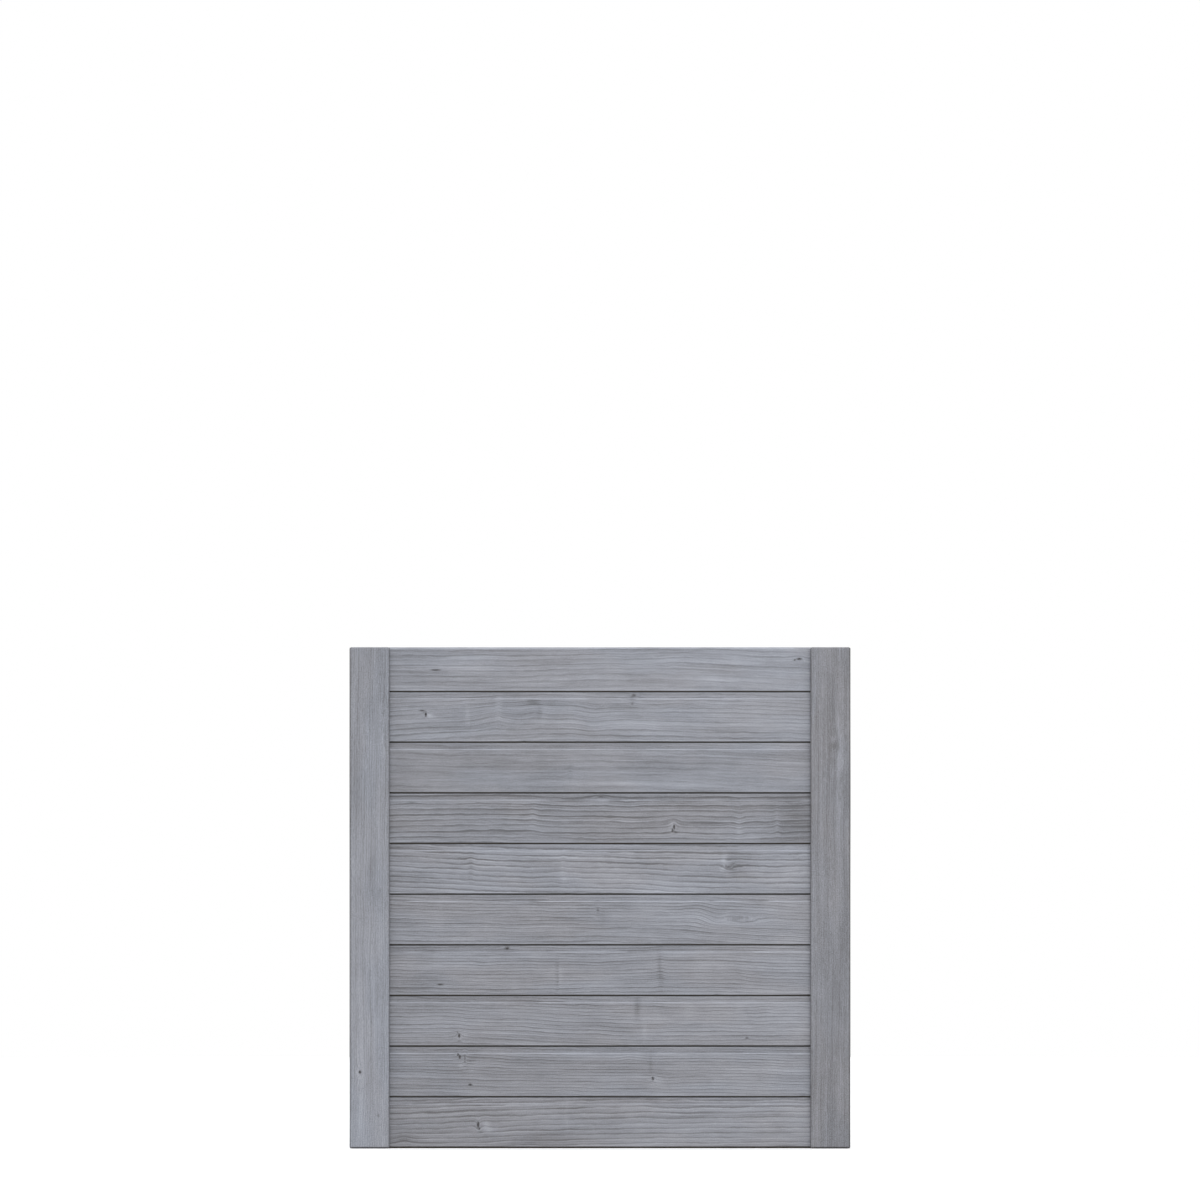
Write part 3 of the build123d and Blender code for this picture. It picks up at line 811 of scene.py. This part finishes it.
# The pale highlight colour is painted highlight; the darkest colour is painted shade, and soil in the back
# joints.
HIGHLIGHT_PALE, KNOT_DARK, SHADE_AND_SOIL_DARK = grey(186, 190, 201), grey(64, 62, 62), grey(42, 35, 18)
PLAIN_LIGHT = 0.98
stain_group, given, result = recipe(
    "Grey stain",
    {"Fibre": "Vector", "Line": "Float", "Ridge": "Float", "Streak": "Float", "Hair": "Float",
     "Fuzz": "Float", "Warm": "Float", "Marks": "Vector"},
    {"Colour": "Color"},
)
tree, fibre = stain_group, given["Fibre"]
knot, painted_light_and_soil, tone = put(tree, "ShaderNodeSeparateXYZ", {0: given["Marks"]}).outputs
band, patchy = drift(tree, fibre, (3.5, 95, 95)), drift(tree, fibre, (9, 22, 22))
mottle, fuzz = drift(tree, fibre, (30, 44, 44)), drift(tree, fibre, (450, 750, 750), 2.0, 0.6)
# Below 0 the mask is painted highlight: upper face edges, ledge tops and a faint band above each lower
# bevel.
painted_highlight = calc(tree, "MAXIMUM", times(tree, painted_light_and_soil, -1.0), 0.0)
light = PLAIN_LIGHT
# The ridge term lightens by a painted highlight.
for mask, lighter in (
    (given["Line"], -0.53), (given["Ridge"], 0.22), (given["Streak"], 0.52), (given["Hair"], 0.4),
    (times(tree, fuzz, given["Fuzz"]), 0.62), (band, 0.6), (patchy, 0.22), (mottle, 0.16),
    (tone, 1.0), (painted_highlight, 0.12),
):
    light = calc(tree, "MULTIPLY_ADD", mask, lighter, light)
share = put(tree, "ShaderNodeMapRange", {"Value": light, "From Min": 0.5, "From Max": 1.5}).outputs[0]
cool, warm = mix(tree, share, COOL_DARK, COOL_PALE), mix(tree, share, WARM_DARK, WARM_PALE)
warmth = calc(tree, "MULTIPLY_ADD", patchy, 0.6, cloud(tree, fibre, (4, 16, 16), 1.0))
warmth = calc(tree, "ADD", fade(tree, warmth, 0.36, 0.68, 0.0, 0.6), given["Warm"])
glazed = mix(tree, warmth, cool, warm)
glazed = mix(tree, times(tree, painted_highlight, 0.5), glazed, HIGHLIGHT_PALE)
ragged = times(tree, knot, calc(tree, "MULTIPLY_ADD", fuzz, 2.6, 1.05))
knotted = mix(tree, fade(tree, ragged, 0.12, 0.85, 0.0, 0.95), glazed, KNOT_DARK)
# Above 0 the mask is painted shade, and soil in the back joints.
shaded_and_soiled = mix(tree, calc(tree, "MAXIMUM", painted_light_and_soil, 0.0), knotted, SHADE_AND_SOIL_DARK)
tree.links.new(shaded_and_soiled, result["Colour"])
print("stain group nodes:", len(stain_group.nodes))

# %% [markdown]
# ## The wood materials
#
# Boards and stiles take the same three groups, each with its own values: on the stiles the
# ring lines waver more, the broad streaks are weaker and the hairs and the fuzz stronger.
# The sawn ends show the rings as arcs. They have stronger lines and a rougher surface, in a
# material of their own.

# %% Wood materials
def wood_material(name, waver, roughness, bump, strength=1.0, streaks=1.0, hairs=1.0, fuzz=1.0):
    """A stained wood that reads the vectors stored in the mesh. bump is in mm."""
    material, tree, shader = new_material(name)
    rings, fibre, marks, own = (
        put(tree, "ShaderNodeAttribute", attribute_name=label).outputs["Vector"]
        for label in ("rings", "fibre", "marks", "own")
    )
    own_line, own_warm, _ = put(tree, "ShaderNodeSeparateXYZ", {0: own}).outputs
    ring_inputs = {"Rings": rings, "Fibre": fibre, "Waver": waver}
    ring_inputs["Strength"] = times(tree, own_line, strength)
    ring = put(tree, "ShaderNodeGroup", ring_inputs, node_tree=rings_group).outputs
    fibres = put(tree, "ShaderNodeGroup", {"Fibre": fibre}, node_tree=fibres_group).outputs
    stain_inputs = {"Fibre": fibre, "Line": ring["Line"], "Ridge": ring["Ridge"], "Marks": marks}
    stain_inputs["Streak"] = times(tree, fibres["Streak"], streaks)
    stain_inputs["Hair"] = times(tree, fibres["Hair"], hairs)
    stain_inputs["Fuzz"], stain_inputs["Warm"] = fuzz, own_warm
    stain = put(tree, "ShaderNodeGroup", stain_inputs, node_tree=stain_group).outputs
    tree.links.new(stain["Colour"], shader["Base Color"])
    height = calc(tree, "MULTIPLY_ADD", ring["Line"], -0.8, times(tree, ring["Ridge"], 0.3))
    for mask, up in ((fibres["Streak"], 0.5), (fibres["Hair"], 0.15)):
        height = calc(tree, "MULTIPLY_ADD", mask, up, height)
    relief = put(tree, "ShaderNodeBump", {"Strength": 1.0, "Distance": bump * MM, "Height": height})
    tree.links.new(relief.outputs[0], shader["Normal"])
    rough = fade(tree, fibres["Streak"], -0.3, 0.3, roughness - 0.08, roughness + 0.08)
    tree.links.new(rough, shader["Roughness"])
    shader["Specular IOR Level"].default_value = 0.25
    return material


board_material = wood_material("Grey stained board", waver=0.5, roughness=0.68, bump=0.45)
stile_material = wood_material("Grey stained stile", waver=1.0, roughness=0.66, bump=0.3,
                               streaks=0.7, hairs=2.8, fuzz=1.8)
end_material = wood_material("Sawn end grain", waver=0.2, roughness=0.85, bump=0.3, strength=1.2)
for pieces, material in ((boards, board_material), (stiles, stile_material)):
    for piece in pieces:
        piece.data.materials.clear()
        piece.data.materials.append(material)
        piece.data.materials.append(end_material)
print("materials:", [m.name for m in (board_material, stile_material, end_material)])

# %% [markdown]
# ## The screws
#
# The screws are already true solids: head, socket and point. They only need zinc-coated
# steel, a bright metal with a faint cloudiness that blurs its reflections unevenly.

# %% Screw steel
zinc, tree, shader = new_material("Zinc coated steel")
spot = put(tree, "ShaderNodeTexCoord").outputs["Object"]
bloom = cloud(tree, spot, (400, 400, 400), 3.0, 0.6)
tree.links.new(mix(tree, bloom, grey(168, 169, 170), grey(128, 131, 136)), shader["Base Color"])
tree.links.new(fade(tree, bloom, 0.3, 0.7, 0.3, 0.48), shader["Roughness"])
shader["Metallic"].default_value = 1.0
screw_nodes = [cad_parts[name] for name in ("left_screws", "right_screws")]
for node in screw_nodes:
    for slot in node.material_slots:
        slot.material = zinc
print("screw nodes with steel:", len(screw_nodes))

# %% [markdown]
# ## Floor
#
# The panel stands on a plain pale floor. The floor is near white where it is looked at, so
# that the panel stands free as in the photograph, but throws little light back at the panel.

# %% Floor
FLOOR_RADIUS, FLOOR_DROP, FLOOR_GLOW = 6.0, 0.0004, 0.22


def make_floor(radius, rings_out, turns):
    """A flat disc: rings of points at growing distance, at even angles, closed in the middle."""
    angle = np.linspace(0, 2 * math.pi, turns, endpoint=False)
    reach = np.linspace(0, radius, rings_out + 1)[1:, None]
    grid = np.stack([reach * np.cos(angle), reach * np.sin(angle), 0 * reach * angle], -1)
    points = np.vstack([[[0, 0, 0]], grid.reshape(-1, 3)]) - [0, 0, FLOOR_DROP]
    number = 1 + np.arange(rings_out * turns).reshape(rings_out, turns)
    beside = np.roll(number, -1, axis=1)
    quads = np.stack([number[:-1], number[1:], beside[1:], beside[:-1]], -1).reshape(-1, 4).tolist()
    middle = np.stack([0 * number[0], number[0], beside[0]], -1).tolist()
    mesh = bpy.data.meshes.new("floor")
    mesh.from_pydata(points.tolist(), [], quads + middle)
    return add_object("floor", mesh)


def seen_directly(tree):
    """1 for rays that show the surroundings: from the camera, by a reflection or through glass."""
    path = put(tree, "ShaderNodeLightPath").outputs
    mirrored = calc(tree, "MAXIMUM", path["Is Glossy Ray"], path["Is Transmission Ray"])
    return calc(tree, "MAXIMUM", path["Is Camera Ray"], mirrored)


floor = make_floor(FLOOR_RADIUS, 12, 96)
pale, tree, shader = new_material("Pale floor")
seen = seen_directly(tree)
tree.links.new(mix(tree, seen, (0.2, 0.2, 0.2, 1), (0.9, 0.9, 0.9, 1)), shader["Base Color"])
shader["Roughness"].default_value = 0.9
shader["Specular IOR Level"].default_value = 0.0
shader["Emission Color"].default_value = (1, 1, 1, 1)
tree.links.new(times(tree, seen, FLOOR_GLOW), shader["Emission Strength"])
floor.data.materials.append(pale)
print("floor faces:", len(floor.data.polygons))

# %% [markdown]
# ## Daylight
#
# A broad lamp above and in front gives the soft daylight a direction, which makes the
# up-facing bevels bright and the undersides of the lips dark. A second one lights the back.
# The surroundings are white to the camera, in reflections and through glass. For everything
# else they are a gentle sky, brighter above than below, in front than behind, and most of all
# at both sides, where it lights the rounded edges of the stiles.

# %% Sky and lamps
SKY_BELOW, SKY_ABOVE, SKY_BEHIND = (0.4, 0.4, 0.4, 1), (0.9, 0.91, 0.93, 1), (0.8, 0.8, 0.8, 1)
BESIDE_GAIN = 2.3
LAMP_AIM = np.array([0, 0, 0.45])
world = bpy.data.worlds.new("Soft daylight")
bpy.context.scene.world = world
world.use_nodes = True
tree = world.node_tree
toward_ray = put(tree, "ShaderNodeTexCoord").outputs["Generated"]
ray_x, ray_y, ray_z = put(tree, "ShaderNodeSeparateXYZ", {0: toward_ray}).outputs
sky = mix(tree, fade(tree, ray_z, -0.8, 0.8), SKY_BELOW, SKY_ABOVE)
sky = mix(tree, fade(tree, ray_y, -1.0, 0.5), sky, SKY_BEHIND, "MULTIPLY")
beside = fade(tree, calc(tree, "ABSOLUTE", ray_x), 0.5, 1.0, 1.0, BESIDE_GAIN)
sky = put(tree, "ShaderNodeVectorMath", {0: sky, "Scale": beside}, operation="SCALE").outputs[0]
background = tree.nodes["Background"].inputs
tree.links.new(mix(tree, seen_directly(tree), sky, (1, 1, 1, 1)), background["Color"])
background["Strength"].default_value = 1.0


def add_sun(name, place, strength, spread):
    """A distant soft lamp that shines from a place towards the panel's middle. The spread
    is in degrees."""
    lamp = bpy.data.lights.new(name, "SUN")
    lamp.energy, lamp.angle = strength, math.radians(spread)
    holder = add_object(name, lamp)
    toward = LAMP_AIM - place
    tilt = math.acos(-toward[2] / np.linalg.norm(toward))
    holder.location = place
    holder.rotation_euler = (tilt, 0, math.atan2(toward[1], toward[0]) - math.pi / 2)


add_sun("window light", place=(0.3, -4.0, 1.7), strength=1.745, spread=60)
add_sun("light from behind", place=(-0.6, 4.0, 2.6), strength=1.5, spread=50)
print("lamps:", len(bpy.data.lights))

# %% [markdown]
# ## Camera
#
# The photograph shows the panel flat on, with no lines that run together, so it was taken
# from far away with a long lens. The camera stands thirty metres in front, and its height
# puts the panel in the lower half of the frame, as the photograph has it.

# %% Camera
DISTANCE, FRAME_WIDTH, CAMERA_HEIGHT = 30.0, 2.1564, 0.9848
SENSOR_WIDTH, FAR_LIMIT = 36.0, 100
camera_data = bpy.data.cameras.new("camera")
camera_data.sensor_width = SENSOR_WIDTH
camera_data.lens = SENSOR_WIDTH * DISTANCE / FRAME_WIDTH
camera_data.clip_end = FAR_LIMIT
camera = add_object("camera", camera_data)
camera.location = (0, -DISTANCE, CAMERA_HEIGHT)
camera.rotation_euler = (math.pi / 2, 0, 0)
bpy.context.scene.camera = camera
bpy.context.scene.view_settings.view_transform = "Standard"
print(f"lens {camera_data.lens:.1f} mm at {DISTANCE:.0f} m")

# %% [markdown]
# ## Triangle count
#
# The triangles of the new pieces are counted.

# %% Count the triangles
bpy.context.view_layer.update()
triangles = sum(len(p.data.loops) - 2 * len(p.data.polygons) for p in boards + stiles)
print("triangles in new pieces:", triangles)
